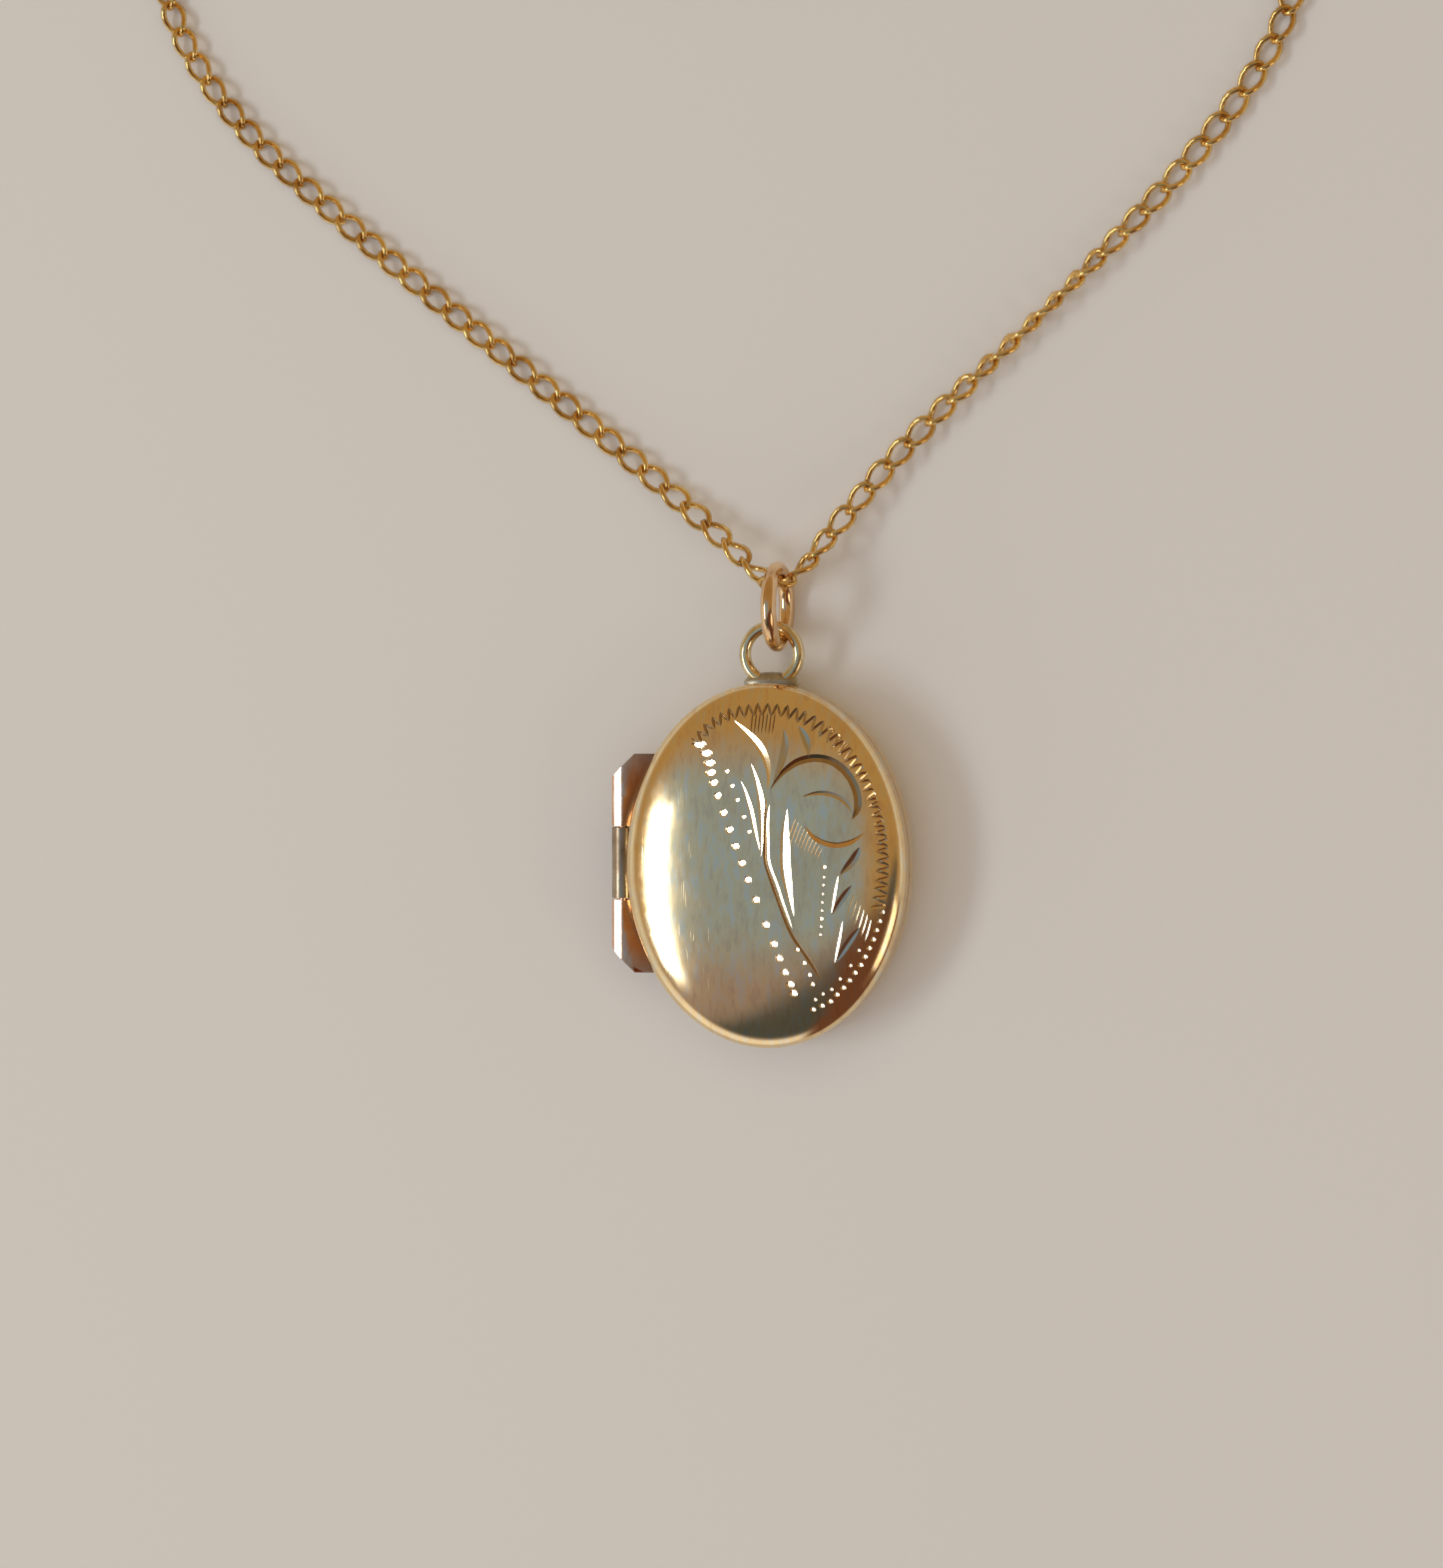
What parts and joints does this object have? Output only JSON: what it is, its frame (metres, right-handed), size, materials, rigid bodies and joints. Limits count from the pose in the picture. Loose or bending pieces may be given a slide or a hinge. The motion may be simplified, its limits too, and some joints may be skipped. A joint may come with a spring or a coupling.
{
  "type": "oval locket",
  "caption": "Small hinged oval locket in yellow gold, half engraved with leaves and a scroll, on a fine curb chain with a bolt ring.",
  "frame": {"origin": "centre of the oval on the small worn flat of the back cover, where the locket rests", "axes": "+Z out of the front cover, +Y from the oval's centre to the loop and bail, +X to the right with the hinge on the left"},
  "size_m": [0.0636, 0.077, 0.0048],
  "materials": {
    "cover_gold": "polished, finely scratched",
    "inner_gold": "satin",
    "picture_card": "matte card",
    "window": "clear acetate",
    "hinge_gold": "polished rose gold",
    "loop_gold": "polished, pale",
    "solder": "dull, oxidised",
    "bail_gold": "polished",
    "chain_gold": "polished",
    "spring_steel": "bright drawn"
  },
  "bodies": {
    "chain": {"chain_run": "chain_gold", "chain_coil": "chain_gold", "chain_tail": "chain_gold", "chain_end_ring": "chain_gold", "bolt_ring_body": "chain_gold", "bolt_ring_eye": "chain_gold", "bolt_spring": "spring_steel", "catch_ring": "chain_gold"},
    "bolt": {"bolt": "chain_gold"},
    "bail": {"bail_ring": "bail_gold"},
    "back": {"back_cover": "cover_gold", "back_seat_ring": "inner_gold", "catch_lip": "inner_gold", "back_picture_card": "picture_card", "back_picture_window": "window", "back_picture_rim": "inner_gold", "knuckle_middle": "hinge_gold", "hinge_pin": "hinge_gold", "top_loop": "loop_gold", "loop_foot": "solder"},
    "cover": {"front_cover": "cover_gold", "front_seat_ring": "inner_gold", "front_picture_card": "picture_card", "front_picture_window": "window", "front_picture_rim": "inner_gold", "knuckle_upper": "hinge_gold", "knuckle_lower": "hinge_gold"}
  },
  "joints": [
    {"name": "bail_tilt", "type": "hinge", "parent": "chain", "child": "bail", "pos_m": [0.0005, 0.0142, 0.0024], "axis": [-1, 0, 0], "range_deg": [0, 90]},
    {"name": "locket_swing", "type": "hinge", "parent": "bail", "child": "back", "pos_m": [0, 0.01242, 0.0018], "axis": [-1, 0, 0], "range_deg": [0, 70]},
    {"name": "cover_hinge", "type": "hinge", "parent": "back", "child": "cover", "pos_m": [-0.0079, 0, 0.0024], "axis": [0, -1, 0], "range_deg": [0, 170]},
    {"name": "bolt_slide", "type": "hinge", "parent": "chain", "child": "bolt", "pos_m": [0.0126, 0.061, 0.0015], "axis": [0, 0, 1], "range_deg": [0, 50], "stiffness_Nm_per_rad": 0.00002, "springref_deg": -11.46}
  ]
}
